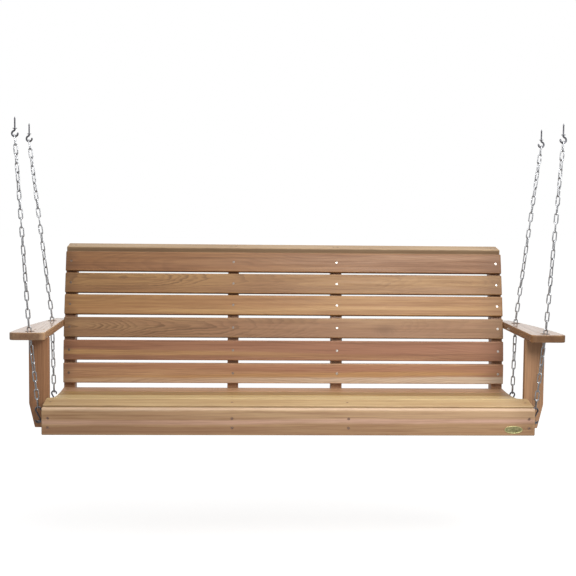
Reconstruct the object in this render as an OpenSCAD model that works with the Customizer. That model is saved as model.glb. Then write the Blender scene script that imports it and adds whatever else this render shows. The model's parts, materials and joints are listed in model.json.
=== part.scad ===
// Hanging porch swing seat: slatted wooden bench on four steel chains.
// +X is the length, towards the right as seen from the front; +Y runs from the front to the back.
// Left and right in names are as seen from the front. Seat slats are numbered from the front,
// back slats from the bottom. The origin is the middle of the footprint at the lowest edge.

/* [Bench] */
// Length of every slat, the front apron and the top rail
slat_l = 1524; // [1200:4:1800]
// Thickness of the slats, the apron and the top rail
board_t = 20; // [18:0.5:21]
// Radius of the eased long edges of the boards
edge_r = 3.5; // [2:0.5:5]
// Width of a seat slat
seat_slat_w = 70.5; // [66:0.5:72]
// Gap between seat slats
seat_gap = 4.5; // [3:0.5:6]
// Width of a back slat
back_slat_w = 69.3; // [66:0.1:70]
// Height of the front apron
apron_h = 84; // [80:1:88]
// Width of the board that caps the back
rail_w = 70; // [66:1:74]

/* [Frame] */
// Thickness of the seat ribs and the back uprights
frame_t = 38; // [38:1:44]
// Depth of a back upright behind the slats
upright_d = 50; // [50:1:58]
// Distance of the inner frames from the middle of the bench
inner_frame_x = 180; // [140:1:240]

/* [Arms] */
// Height of the arm's upper face
arm_top_z = 307; // [295:1:320]
// Thickness of an arm
arm_t = 24; // [20:1:26]
// Distance from the bench end to the widest part of the arm
arm_reach = 110; // [100:1:114]
// Width of an arm post
post_w = 63; // [60:1:64]
// Thickness of an arm post
post_t = 25; // [20:1:28]
// Radius of the chain holes through an arm
chain_hole_r = 15; // [14:0.5:16]

/* [Chain] */
// Diameter of the link wire
wire_d = 4; // [3.6:0.1:4.1]
// Outer width of a link
link_w = 15; // [14.8:0.1:15.6]
// Inner length of a link
link_inner_l = 28.75; // [28.6:0.05:28.9]
// Number of links from each arm to its ceiling hook, always odd
upper_links = 21; // [11:2:31]

/* [Hidden] */

$fn = 32;
LEFT = -1;
RIGHT = 1;
SIDES = [LEFT, RIGHT];
fit = 0.1;                      // clearance round every fastener
end_x = slat_l / 2;             // bench end, also the outer face of the end frames
end_frame_x = end_x - frame_t / 2;
frame_xs = [-end_frame_x, -inner_frame_x, inner_frame_x, end_frame_x];

// Seat curve: tilt of each slat from front to rear, walked back from the first slat's front edge.
// The gap is wider behind the first slat, where the seat rolls over
seat_tilts = [7.5, -8.5, -8.5, -3.5, 0, 2];
seat_gaps = [seat_gap + 2.5, seat_gap, seat_gap, seat_gap, seat_gap];
seat_start = [23.2, 88.9];
// Back curve: tilt of each slat off vertical from bottom to top, walked up from the lowest slat,
// with wider gaps in the lower half
back_tilts = [2, 7, 11, 14.5, 15, 15];
back_gaps = [10, 9.5, 10, 6.5, 7];
back_start = [455.5, 90.8];
rail_tilt = 8;
rib_bottom_z = 6;

// Unit vectors in the side plane, written as [y, z]
function along(tilt) = [cos(tilt), sin(tilt)];
function above(tilt) = [-sin(tilt), cos(tilt)];
function up_back(tilt) = [sin(tilt), cos(tilt)];
function behind(tilt) = [cos(tilt), -sin(tilt)];

// Front upper edge of seat slat i
function seat_edge(i) = i == 0 ? seat_start :
    seat_edge(i - 1) + seat_slat_w * along(seat_tilts[i - 1])
        + seat_gaps[i - 1] * along((seat_tilts[i - 1] + seat_tilts[i]) / 2);
// Lower front edge of back slat i
function back_edge(i) = i == 0 ? back_start :
    back_edge(i - 1) + back_slat_w * up_back(back_tilts[i - 1])
        + back_gaps[i - 1] * up_back((back_tilts[i - 1] + back_tilts[i]) / 2);

last = len(back_tilts) - 1;
back_top = back_edge(last) + back_slat_w * up_back(back_tilts[last]) + board_t * behind(back_tilts[last]);
rail_start = back_top + 0.6 * along(rail_tilt);
rail_rear_y = rail_start[0] + rail_w * cos(rail_tilt);

plate_t = 1.2;
y_mid = (rail_rear_y - plate_t) / 2;

// Cubic curve through a list of points, with the given number of steps between each two
function spline_at(a, b, c, d, u) =
    0.5 * (2 * b + u * (c - a) + u * u * (2 * a - 5 * b + 4 * c - d) + u * u * u * (3 * b - a - 3 * c + d));
function spline(p, steps) = [
    for (i = [0 : len(p) - 2], s = [0 : steps - 1])
        spline_at(p[max(i - 1, 0)], p[i], p[i + 1], p[min(i + 2, len(p) - 1)], s / steps),
    p[len(p) - 1]
];

// Side outline of a back upright, from its foot up the slat faces and down a smooth rear edge
foot_front = back_start + board_t * behind(back_tilts[0])
    - (back_start[1] - rib_bottom_z) * up_back(back_tilts[0]);
upright_front = [
    for (i = [0 : last], w = [0, back_slat_w])
        back_edge(i) + w * up_back(back_tilts[i]) + board_t * behind(back_tilts[i])
];
upright_rear = spline([
    foot_front + upright_d * [1, 0],
    for (i = [0 : last - 1])
        back_edge(i) + back_slat_w / 2 * up_back(back_tilts[i]) + (board_t + upright_d) * behind(back_tilts[i]),
    back_top + upright_d * along(rail_tilt)
], 5);
upright_outline = concat(
    [foot_front], upright_front,
    [for (i = [len(upright_rear) - 1 : -1 : 0]) upright_rear[i]]
);

// Side outline of a seat rib: level underside, upper edge in flats under the slats
rib_top = [
    for (i = [0 : len(seat_tilts) - 1], w = [0, seat_slat_w])
        seat_edge(i) + w * along(seat_tilts[i]) - board_t * above(seat_tilts[i])
];
rib_rear_y = foot_front[0] + upright_d;
rib_outline = concat(
    [[board_t, rib_bottom_z], [board_t, rib_top[0][1] - 0.05]], rib_top,
    [[rib_rear_y, rib_top[len(rib_top) - 1][1]], [rib_rear_y, rib_bottom_z]]
);

// Screws and bolts
screw_r = 2.2;
screw_head_r = 4.2;
screw_head_h = 2.6;
screw_l = 40;
long_screw_l = 72;
bolt_r = 4;
bolt_head_r = 9.5;
bolt_at = [[foot_front[0] + 16, 20], [foot_front[0] + 36, 38]];
nut_t = 6.5;
washer_t = 1.6;

// Arms and posts
post_y = 150;
post_top_z = arm_top_z - arm_t;
post_taper_z = 72;
post_foot_w = 45;
post_foot_z = -5;               // the posts end a little lower than the apron
arm_front_y = 70;
arm_rear_y = 530;
arm_curve_r = 2200;             // radius of the arm's long outer edge
arm_curve_y = -63;
arm_corner_r = 16;
arm_widest_y = 90;
arm_curve_x = end_x + arm_reach - sqrt(pow(arm_curve_r, 2) - pow(arm_widest_y - arm_curve_y, 2));
arm_corner_x = arm_curve_x + sqrt(pow(arm_curve_r, 2) - pow(arm_front_y + arm_corner_r - arm_curve_y, 2));

// Chains. "Pivot" is where an upper chain turns on the top link of a lower chain
wire_r = wire_d / 2;
link_bend_r = link_w / 2 - wire_r;
link_half = link_inner_l / 2 + wire_r;
chain_ys = [108, 430];          // front and rear chains
pivot_xs = [end_x + 54.4, end_x + 32.9];
leans = [3.8, 7.05];            // sideways lean of the upper chains, top outwards
pivot_z = arm_top_z + 15;
play = 0.35;                    // slack between links of the front chains
hook_r = 3;
hook_bend_r = 9;
hook_gap = hook_r + wire_r + 0.3;
pivot_gap = 2 * wire_r + 0.3;
// Level distance from pivot to hook: the same for all four, so that the bench stays level as it swings
front_pitch = link_inner_l - play;
drop = (upper_links * front_pitch + 2 * link_half - link_inner_l + play - hook_gap - pivot_gap) * cos(leans[0]);
hook_z = pivot_z + drop;
function upper_pitch(k) = (drop / cos(leans[k]) + hook_gap + pivot_gap - 2 * link_half) / (upper_links - 1);
function hook_x(k) = pivot_xs[k] + drop * tan(leans[k]);

// Lower chains, from the pivot down to the S-hooks
lower_links = 9;
s_wire_r = 2.5;
s_bend_r = 8;
s_half = 17;                    // from the middle of an S-hook to the centre of each bend
s_hook_x = end_x + 27;
s_gap = s_wire_r + wire_r + 0.3;
lower_l = (lower_links - 1) * front_pitch + 2 * link_half - s_gap;
function lower_lean(k) = asin((pivot_xs[k] - s_hook_x) / lower_l);
function s_hook_z(k) = pivot_z - lower_l * cos(lower_lean(k)) - s_half - s_bend_r;

// Eye bolts
eye_r = 3;
eye_ring_r = 10;
function eye_z(k) = s_hook_z(k) - s_half - s_bend_r + s_wire_r + eye_r + 0.3;

WOOD = [0.72, 0.55, 0.38];
PALE_WOOD = [0.79, 0.64, 0.46];
DARK_WOOD = [0.56, 0.4, 0.28];
STEEL = [0.52, 0.53, 0.55];
PLATE = [0.6, 0.58, 0.38];

// Moves the middle of the footprint to the origin, at the height of the posts' feet
module placed() {
    translate([0, -y_mid, -post_foot_z])
        children();
}

// Mirrors a shape drawn for the right-hand end of the bench
module on_side(side) {
    mirror([side == LEFT ? 1 : 0, 0, 0])
        children();
}

// Extrudes a side outline, drawn as [y, z], along X
module along_x(x0, length) {
    translate([x0, 0, 0])
        rotate([90, 0, 90])
            linear_extrude(length)
                children();
}

module eased_rectangle(w, t, r) {
    translate([r, 0])
        square([w - 2 * r, t]);
    translate([0, r])
        square([w, t - 2 * r]);
    for (x = [r, w - r], y = [r, t - r])
        translate([x, y])
            circle(r);
}

// A countersunk screw with its head face at the origin, pointing down
module screw(length, extra = 0) {
    translate([0, 0, -screw_head_h])
        cylinder(h = screw_head_h + extra, r1 = screw_r + extra, r2 = screw_head_r + extra);
    translate([0, 0, -length + 6 - extra])
        cylinder(h = length - 6 - screw_head_h + 2 * extra, r = screw_r + extra);
    translate([0, 0, -length - extra])
        cylinder(h = 6, r1 = 0.6 + extra, r2 = screw_r + extra);
}

module seat_screw(x, i, extra = 0) {
    p = seat_edge(i) + seat_slat_w / 2 * along(seat_tilts[i]);
    translate([x, p[0], p[1]])
        rotate([seat_tilts[i], 0, 0])
            screw(screw_l, extra);
}

module back_screw(x, i, extra = 0) {
    p = back_edge(i) + back_slat_w / 2 * up_back(back_tilts[i]);
    translate([x, p[0], p[1]])
        rotate([90 - back_tilts[i], 0, 0])
            screw(screw_l, extra);
}

module apron_screw_pair(x, extra = 0) {
    for (z = [23, 52])
        translate([x, 0, z])
            rotate([90, 0, 0])
                screw(screw_l, extra);
}

module rail_screw_pair(x, extra = 0) {
    p = rail_start + 0.42 * rail_w * along(rail_tilt) + board_t * above(rail_tilt);
    for (dx = [-8, 8])
        translate([x + dx, p[0], p[1]])
            rotate([rail_tilt, 0, 0])
                screw(screw_l, extra);
}

module arm_post_screw_pair(extra = 0) {
    for (dx = [18, 44])
        translate([end_x + dx, post_y + post_t / 2, arm_top_z])
            screw(long_screw_l, extra);
}

// Screws driven outwards from the inner face of an end frame
module outward_screw(y, z, extra = 0) {
    translate([end_x - frame_t, y, z])
        rotate([0, -90, 0])
            screw(long_screw_l, extra);
}

module arm_rear_screw_pair(extra = 0) {
    for (y = [arm_rear_y - 23, arm_rear_y - 9])
        outward_screw(y, arm_top_z - arm_t / 2, extra);
}

module post_screw_pair(extra = 0) {
    for (z = [22, 50])
        outward_screw(post_y + post_t / 2, z, extra);
}

// Rounded-head bolt through a frame's lap joint, head on the outer face
module lap_bolt_pair(extra = 0) {
    for (p = bolt_at)
        translate([frame_t / 2, p[0], p[1]]) {
            translate([-frame_t - washer_t - nut_t - 3, 0, 0])
                rotate([0, 90, 0])
                    cylinder(h = frame_t + washer_t + nut_t + 3.2, r = bolt_r + extra);
            if (extra == 0)
                rotate([0, 90, 0])
                    intersection() {
                        translate([0, 0, -12])
                            sphere(16, $fn = 64);
                        cylinder(h = 10, r = bolt_head_r);
                    }
        }
}

module nut_and_washer(hole_r, across, thick, washer_r) {
    rotate([0, -90, 0]) {
        difference() {
            cylinder(h = washer_t, r = washer_r);
            translate([0, 0, -1])
                cylinder(h = washer_t + 2, r = hole_r + fit);
        }
        translate([0, 0, washer_t])
            difference() {
                cylinder(h = thick, r = across / 2 / cos(30), $fn = 6);
                translate([0, 0, -1])
                    cylinder(h = thick + 2, r = hole_r + fit);
            }
    }
}

// The frames at the two ends are drawn on their own side; the inner ones too
module at_frame(x) {
    on_side(x < 0 ? LEFT : RIGHT)
        translate([abs(x), 0, 0])
            children();
}

module front_apron() {
    color(WOOD) placed()
        difference() {
            along_x(-end_x, slat_l)
                difference() {
                    eased_rectangle(board_t, apron_h, edge_r);
                    translate([-1, apron_h - 9])
                        difference() {
                            square(10);
                            translate([10, 0])
                                circle(9, $fn = 64);
                        }
                }
            for (x = frame_xs)
                apron_screw_pair(x, fit);
        }
}

module seat_slat(i) {
    p = seat_edge(i);
    color(PALE_WOOD) placed()
        difference() {
            along_x(-end_x, slat_l)
                translate([p[0], p[1]])
                    rotate(seat_tilts[i])
                        translate([0, -board_t])
                            eased_rectangle(seat_slat_w, board_t, edge_r);
            for (x = frame_xs)
                seat_screw(x, i, fit);
        }
}

module back_slat(i) {
    p = back_edge(i);
    color(i % 2 == 0 ? WOOD : PALE_WOOD) placed()
        difference() {
            along_x(-end_x, slat_l)
                translate([p[0], p[1]])
                    rotate(-back_tilts[i])
                        eased_rectangle(board_t, back_slat_w, edge_r);
            for (x = frame_xs)
                back_screw(x, i, fit);
        }
}

module top_rail() {
    color(WOOD) placed()
        difference() {
            along_x(-end_x, slat_l)
                translate([rail_start[0], rail_start[1]])
                    rotate(rail_tilt)
                        eased_rectangle(rail_w, board_t, edge_r);
            for (x = frame_xs)
                rail_screw_pair(x, fit);
        }
}

// Seat rib: half its thickness is cut away where the upright laps it
module seat_rib(x) {
    color(WOOD) placed() at_frame(x)
        difference() {
            along_x(-frame_t / 2, frame_t)
                polygon(rib_outline);
            along_x(0, frame_t)
                polygon(upright_outline);
            lap_bolt_pair(fit);
            translate([-abs(x), 0, 0]) {
                apron_screw_pair(abs(x), fit);
                for (i = [0 : len(seat_tilts) - 1])
                    seat_screw(abs(x), i, fit);
                post_screw_pair(fit);
                for (k = [0, 1])
                    eye_shank(k, fit);
            }
        }
}

module upright(x) {
    color(WOOD) placed() at_frame(x)
        difference() {
            along_x(-frame_t / 2, frame_t)
                polygon(upright_outline);
            along_x(-frame_t, frame_t)
                polygon(rib_outline);
            lap_bolt_pair(fit);
            translate([-abs(x), 0, 0]) {
                for (i = [0 : last])
                    back_screw(abs(x), i, fit);
                rail_screw_pair(abs(x), fit);
                arm_rear_screw_pair(fit);
            }
        }
}

// What rounding a front corner takes away, for a corner at the origin
module arm_corner_cut() {
    difference() {
        translate([-3, -3])
            square(arm_corner_r + 3);
        translate([arm_corner_r, arm_corner_r])
            circle(arm_corner_r, $fn = 64);
    }
}

module arm(side) {
    color(WOOD) placed() on_side(side)
        difference() {
            translate([0, 0, post_top_z])
                linear_extrude(arm_t)
                    difference() {
                        intersection() {
                            translate([end_x, arm_front_y])
                                square([arm_reach + 10, arm_rear_y - arm_front_y]);
                            translate([arm_curve_x, arm_curve_y])
                                circle(arm_curve_r, $fn = 1440);
                        }
                        translate([end_x, arm_front_y])
                            arm_corner_cut();
                        translate([arm_corner_x, arm_front_y])
                            mirror([1, 0])
                                arm_corner_cut();
                        for (k = [0, 1])
                            translate([arm_hole_x(k), chain_ys[k]])
                                circle(chain_hole_r);
                    }
            arm_post_screw_pair(fit);
            arm_rear_screw_pair(fit);
        }
}

// A chain hole sits where the lower chain passes the arm
function arm_hole_x(k) = pivot_xs[k] - (pivot_z - arm_top_z + arm_t / 2) * tan(lower_lean(k));

module arm_post(side) {
    color(DARK_WOOD) placed() on_side(side)
        difference() {
            translate([end_x, post_y + post_t, 0])
                rotate([90, 0, 0])
                    linear_extrude(post_t)
                        polygon([
                            [0, post_foot_z], [post_foot_w, post_foot_z], [post_w, post_taper_z],
                            [post_w, post_top_z], [0, post_top_z]
                        ]);
            arm_post_screw_pair(fit);
            post_screw_pair(fit);
        }
}

module seat_slat_screws() {
    color(STEEL) placed()
        for (x = frame_xs, i = [0 : len(seat_tilts) - 1])
            seat_screw(x, i);
}

module back_slat_screws() {
    color(STEEL) placed()
        for (x = frame_xs, i = [0 : last])
            back_screw(x, i);
}

module apron_screws() {
    color(STEEL) placed()
        for (x = frame_xs)
            apron_screw_pair(x);
}

module top_rail_screws() {
    color(STEEL) placed()
        for (x = frame_xs)
            rail_screw_pair(x);
}

module arm_screws() {
    color(STEEL) placed()
        for (side = SIDES)
            on_side(side) {
                arm_post_screw_pair();
                arm_rear_screw_pair();
            }
}

module post_screws() {
    color(STEEL) placed()
        for (side = SIDES)
            on_side(side)
                post_screw_pair();
}

module frame_bolts() {
    color(STEEL) placed()
        for (x = frame_xs)
            at_frame(x)
                lap_bolt_pair();
}

module frame_bolt_nuts() {
    color(STEEL) placed()
        for (x = frame_xs, p = bolt_at)
            at_frame(x)
                translate([-frame_t / 2, p[0], p[1]])
                    nut_and_washer(bolt_r, 13, nut_t, 8.5);
}

// Shank of eye bolt k, from its ring through the end rib
module eye_shank(k, extra = 0) {
    translate([end_x - frame_t - 10, chain_ys[k], eye_z(k)])
        rotate([0, 90, 0])
            cylinder(h = frame_t + 10 + s_hook_x - end_x - 2 * eye_ring_r + 1, r = eye_r + extra);
}

module eye_bolt(side, k) {
    color(STEEL) placed() on_side(side) {
        eye_shank(k);
        translate([s_hook_x - eye_ring_r, chain_ys[k], eye_z(k)])
            rotate_extrude($fn = 48)
                translate([eye_ring_r, 0])
                    circle(eye_r);
    }
}

module eye_bolt_nuts() {
    color(STEEL) placed()
        for (side = SIDES, k = [0, 1])
            on_side(side)
                translate([end_x - frame_t, chain_ys[k], eye_z(k)])
                    nut_and_washer(eye_r, 10, 5, 9);
}

// Half an S-hook: a bend of a little more than half a turn and half the slanting spine,
// with the forged swelling where the wire straightens
module s_hook_half() {
    slant = asin(s_bend_r / s_half);
    translate([0, 0, s_half])
        rotate([90, slant, 0])
            rotate_extrude(angle = 200 + slant, $fn = 48)
                translate([s_bend_r, 0])
                    circle(s_wire_r);
    rotate([0, slant, 0]) {
        translate([0, 0, -0.5])
            cylinder(h = s_half * cos(slant) + 0.5, r = s_wire_r);
        translate([0, 0, s_half * cos(slant)])
            sphere(s_wire_r + 0.1);
    }
}

module s_hook(side, k) {
    color(STEEL) placed() on_side(side)
        translate([s_hook_x, chain_ys[k], s_hook_z(k)]) {
            s_hook_half();
            rotate([0, 180, 0])
                s_hook_half();
        }
}

// One link in the XZ plane, its long axis along Z
module link() {
    straight = link_inner_l - link_w + 2 * wire_d;
    for (x = [-link_bend_r, link_bend_r])
        translate([x, 0, -straight / 2])
            cylinder(h = straight, r = wire_r, $fn = 20);
    for (flip = [0, 1])
        mirror([0, 0, flip])
            translate([0, 0, straight / 2])
                rotate([90, 0, 0])
                    rotate_extrude(angle = 180, $fn = 32)
                        translate([link_bend_r, 0])
                            circle(wire_r, $fn = 20);
}

// Links hanging down from the origin: turn is the first link's turn, twist is added at every link
module strand(count, pitch, turn, twist) {
    for (i = [0 : count - 1])
        translate([0, 0, -link_half - i * pitch])
            rotate([0, 0, turn + i * (90 + twist)])
                link();
}

module upper_chain(side, k) {
    color(STEEL) placed() on_side(side)
        translate([hook_x(k), chain_ys[k], hook_z])
            rotate([0, leans[k], 0])
                translate([0, 0, hook_gap])
                    strand(upper_links, upper_pitch(k), 90, 180 / (upper_links - 1));
}

module lower_chain(side, k) {
    color(STEEL) placed() on_side(side)
        translate([pivot_xs[k], chain_ys[k], pivot_z])
            rotate([0, lower_lean(k), 0])
                strand(lower_links, front_pitch, 0, 90 / (lower_links - 1));
}

// Screw hook: the chain hangs in the bend, the threaded shank goes up into the beam
hook_neck = 6;
hook_collar_t = 2;
hook_thread_l = 30;

module ceiling_hook(side, k) {
    color(STEEL) placed() on_side(side)
        translate([hook_x(k), chain_ys[k], hook_z]) {
            translate([0, 0, hook_bend_r])
                rotate([90, 160, 0])
                    mirror([0, 1, 0])
                        rotate_extrude(angle = 290, $fn = 48)
                            translate([hook_bend_r, 0])
                                circle(hook_r);
            translate([0, 0, 2 * hook_bend_r]) {
                sphere(hook_r);
                cylinder(h = hook_neck + hook_collar_t + hook_thread_l, r = hook_r);
                translate([0, 0, hook_neck])
                    cylinder(h = hook_collar_t, r = 7);
                translate([0, 0, hook_neck + hook_collar_t + hook_thread_l])
                    cylinder(h = 5, r1 = hook_r, r2 = 0.5);
            }
        }
}

// Plain oval plate near the right-hand end of the apron
plate_l = 57;
plate_h = 24;
plate_z = 19;
module oval_plate() {
    color(PLATE) placed()
        translate([end_x - 67.5, 0, plate_z])
            rotate([90, 0, 0])
                linear_extrude(plate_t)
                    polygon([for (a = [0 : 5 : 355]) [plate_l / 2 * cos(a), plate_h / 2 * sin(a)]]);
}

front_apron();
seat_slat(0);  // seat_slat_1
seat_slat(1);  // seat_slat_2
seat_slat(2);  // seat_slat_3
seat_slat(3);  // seat_slat_4
seat_slat(4);  // seat_slat_5
seat_slat(5);  // seat_slat_6
back_slat(0);  // back_slat_1
back_slat(1);  // back_slat_2
back_slat(2);  // back_slat_3
back_slat(3);  // back_slat_4
back_slat(4);  // back_slat_5
back_slat(5);  // back_slat_6
top_rail();
seat_rib(-end_frame_x);  // seat_rib_left_end
seat_rib(-inner_frame_x);  // seat_rib_left_inner
seat_rib(inner_frame_x);  // seat_rib_right_inner
seat_rib(end_frame_x);  // seat_rib_right_end
upright(-end_frame_x);  // upright_left_end
upright(-inner_frame_x);  // upright_left_inner
upright(inner_frame_x);  // upright_right_inner
upright(end_frame_x);  // upright_right_end
arm(LEFT);  // arm_left
arm(RIGHT);  // arm_right
arm_post(LEFT);  // arm_post_left
arm_post(RIGHT);  // arm_post_right
seat_slat_screws();
back_slat_screws();
apron_screws();
top_rail_screws();
arm_screws();
post_screws();
frame_bolts();
frame_bolt_nuts();
eye_bolt(LEFT, 0);  // eye_bolt_front_left
eye_bolt(RIGHT, 0);  // eye_bolt_front_right
eye_bolt(LEFT, 1);  // eye_bolt_rear_left
eye_bolt(RIGHT, 1);  // eye_bolt_rear_right
eye_bolt_nuts();
s_hook(LEFT, 0);  // s_hook_front_left
s_hook(RIGHT, 0);  // s_hook_front_right
s_hook(LEFT, 1);  // s_hook_rear_left
s_hook(RIGHT, 1);  // s_hook_rear_right
lower_chain(LEFT, 0);  // lower_chain_front_left
lower_chain(RIGHT, 0);  // lower_chain_front_right
lower_chain(LEFT, 1);  // lower_chain_rear_left
lower_chain(RIGHT, 1);  // lower_chain_rear_right
upper_chain(LEFT, 0);  // upper_chain_front_left
upper_chain(RIGHT, 0);  // upper_chain_front_right
upper_chain(LEFT, 1);  // upper_chain_rear_left
upper_chain(RIGHT, 1);  // upper_chain_rear_right
ceiling_hook(LEFT, 0);  // ceiling_hook_front_left
ceiling_hook(RIGHT, 0);  // ceiling_hook_front_right
ceiling_hook(LEFT, 1);  // ceiling_hook_rear_left
ceiling_hook(RIGHT, 1);  // ceiling_hook_rear_right
oval_plate();
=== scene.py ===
"""Looks of a hanging porch swing seat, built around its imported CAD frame."""

import json
import math

import bmesh
import bpy
import numpy as np
from mathutils import Matrix, Vector


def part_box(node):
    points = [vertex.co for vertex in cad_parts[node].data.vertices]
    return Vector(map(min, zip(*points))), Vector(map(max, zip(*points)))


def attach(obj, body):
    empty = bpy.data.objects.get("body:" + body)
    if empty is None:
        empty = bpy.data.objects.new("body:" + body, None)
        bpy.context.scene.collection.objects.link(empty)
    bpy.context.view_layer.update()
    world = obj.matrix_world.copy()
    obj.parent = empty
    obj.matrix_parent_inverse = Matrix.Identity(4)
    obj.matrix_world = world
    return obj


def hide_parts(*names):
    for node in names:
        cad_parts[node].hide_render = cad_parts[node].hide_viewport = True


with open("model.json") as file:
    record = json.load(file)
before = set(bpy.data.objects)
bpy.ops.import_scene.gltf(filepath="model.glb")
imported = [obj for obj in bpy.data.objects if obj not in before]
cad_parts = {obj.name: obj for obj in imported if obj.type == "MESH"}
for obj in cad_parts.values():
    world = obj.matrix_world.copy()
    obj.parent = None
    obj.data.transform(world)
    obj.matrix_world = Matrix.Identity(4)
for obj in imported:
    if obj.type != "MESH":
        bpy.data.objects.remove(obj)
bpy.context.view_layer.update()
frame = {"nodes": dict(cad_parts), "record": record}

MM = 0.001
X, Y, Z = 0, 1, 2
LEFT, RIGHT = -1, 1
TO_X, TO_Y, TO_Z = np.eye(3)

# Boards
SLAT_END_R = 3.3 * MM  # eased ends of slats, apron and top rail
BOARD_R = 2.2 * MM  # eased edges of ribs, uprights and arm posts
ARM_R = 3 * MM  # eased edges of the arms
ROUND_STEP = 2.4 * MM  # outline edges shorter than this lie on a rounded corner
SUPPORT = 3 * MM  # distance from an eased edge to the loop that keeps the flat beside it flat
LIP = 0.8 * MM  # flat kept inside an eased edge
SAME = 0.02 * MM  # outline points nearer than this are one
ON_FACE = 0.002 * MM  # how far off a flat CAD face a point may be and still belong to it
HAIR = 0.06 * MM  # joint line round the half-laps
HOLE_LIP = 1.6 * MM  # eased edge of the chain holes in the arms
SCREW_HOLE_R = 10 * MM  # holes smaller than this are for screws

# Fasteners
SCREW_SINK = 0.35 * MM
SCREW_PITCH = 1.4 * MM
BOLT_HEAD_H = 4 * MM
BOLT_SHANK_R = 4 * MM
BOLT_PITCH = 1.25 * MM
BOLT_THREAD_L = 24 * MM
EYE_SHANK_R = 3 * MM
EYE_PITCH = 1 * MM
EYE_THREAD_L = 34 * MM
HOOK_PITCH = 2.4 * MM
COLLAR_T = 2 * MM

# Wood tones
WOOD_GAIN = 0.85  # albedo of a wood tone over its brightness as seen in the studio light
LATE_TONE = 0.62  # brightness of a growth ring's late wood over the dark tone
END_TONE = 0.42  # brightness of end grain over the dark tone
# Painted shade darkens the ends of a board; this is how far it reaches from each end
END_SHADE_REACH = {LEFT: 55 * MM, RIGHT: 110 * MM}  # how far the darker ends of a board reach

# Camera: where it stands, how it is turned, and its lens on a 36 mm wide sensor
CAMERA_AT = Vector((-0.1624, -3.9289, 0.7313))
CAMERA_YAW = math.radians(2.3932)
CAMERA_DOWN = math.radians(4.2683)
CAMERA_ROLL = math.radians(0.5661)
CAMERA_LENS = 74.21

FLOOR_Z = -0.42
FLOOR_HALF = 30.0  # from its middle to each side


def make_camera():
    ahead = Vector((
        math.cos(CAMERA_DOWN) * math.sin(CAMERA_YAW),
        math.cos(CAMERA_DOWN) * math.cos(CAMERA_YAW),
        -math.sin(CAMERA_DOWN),
    ))
    level = Vector((math.cos(CAMERA_YAW), -math.sin(CAMERA_YAW), 0))
    upright = level.cross(ahead)
    right = math.cos(CAMERA_ROLL) * level + math.sin(CAMERA_ROLL) * upright
    up = math.cos(CAMERA_ROLL) * upright - math.sin(CAMERA_ROLL) * level
    camera = bpy.data.objects.new("camera", bpy.data.cameras.new("camera"))
    camera.data.lens = CAMERA_LENS
    camera.data.sensor_width = 36
    turn = Matrix((right, up, -ahead)).transposed()
    camera.matrix_world = Matrix.Translation(CAMERA_AT) @ turn.to_4x4()
    bpy.context.scene.collection.objects.link(camera)
    bpy.context.scene.camera = camera


# ---------------- node helpers


class Shader:
    """A node tree of a new material, or of a world, with short calls for the nodes that they share."""

    def __init__(self, name, world=None):
        self.material = world or bpy.data.materials.new(name)
        self.material.use_nodes = True
        self.tree = self.material.node_tree
        self.surface = self.tree.nodes["Background" if world else "Principled BSDF"]

    def node(self, kind, inputs=(), **settings):
        made = self.tree.nodes.new(kind)
        for key, value in settings.items():
            setattr(made, key, value)
        for key, value in dict(inputs).items():
            self.put(made.inputs[key], value)
        return made

    def put(self, socket, value):
        if isinstance(value, bpy.types.NodeSocket):
            self.tree.links.new(value, socket)
        else:
            socket.default_value = value

    def math(self, operation, a, b=0.0, c=0.0):
        return self.node("ShaderNodeMath", {0: a, 1: b, 2: c}, operation=operation).outputs[0]

    def vector_math(self, operation, a, b=(0, 0, 0)):
        return self.node("ShaderNodeVectorMath", {0: a, 1: b}, operation=operation).outputs[0]

    def noise(self, place, stretch, detail=3.0, roughness=0.5, offset=(0, 0, 0)):
        """Noise of about 0 to 1 whose features repeat about stretch times a metre on each axis."""
        spot = self.node("ShaderNodeMapping", {"Vector": place, "Scale": stretch, "Location": offset})
        made = self.node(
            "ShaderNodeTexNoise",
            {"Vector": spot.outputs[0], "Scale": 1.0, "Detail": detail, "Roughness": roughness},
        )
        return made.outputs["Fac"]

    def rotate(self, vector, turn):
        inputs = {"Vector": vector, "Rotation": turn}
        return self.node("ShaderNodeVectorRotate", inputs, rotation_type="EULER_XYZ").outputs[0]

    def ramp(self, value, low, high, to_low=0.0, to_high=1.0, smooth=True):
        made = self.node(
            "ShaderNodeMapRange",
            {"Value": value, "From Min": low, "From Max": high, "To Min": to_low, "To Max": to_high},
            interpolation_type="SMOOTHSTEP" if smooth else "LINEAR",
        )
        return made.outputs[0]

    def mix(self, share, a, b):
        """Colour a, with a share of b; sockets 6, 7 and 2 are the node's colours."""
        return self.node("ShaderNodeMix", {0: share, 6: a, 7: b}, data_type="RGBA").outputs[2]

    def bump(self, height, distance, strength):
        inputs = {"Height": height, "Distance": distance, "Strength": strength}
        return self.node("ShaderNodeBump", inputs).outputs[0]


def srgb(red, green, blue):
    """A colour given as 0 to 255 on a screen, as the linear values that nodes use."""
    def linear(c):
        c = c / 255
        return c / 12.92 if c <= 0.04045 else ((c + 0.055) / 1.055) ** 2.4
    return (linear(red), linear(green), linear(blue), 1.0)


# ---------------- reading the CAD frame


def cad_mesh(node):
    """A CAD node's mesh with its split vertices joined again."""
    bm = bmesh.new()
    bm.from_mesh(frame["nodes"][node].data)
    bmesh.ops.remove_doubles(bm, verts=bm.verts, dist=ON_FACE)
    bm.verts.ensure_lookup_table()
    bm.verts.index_update()
    return bm


def area_of(points):
    x, y = points[:, 0], points[:, 1]
    return 0.5 * float(np.sum(x * np.roll(y, -1) - y * np.roll(x, -1)))


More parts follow.
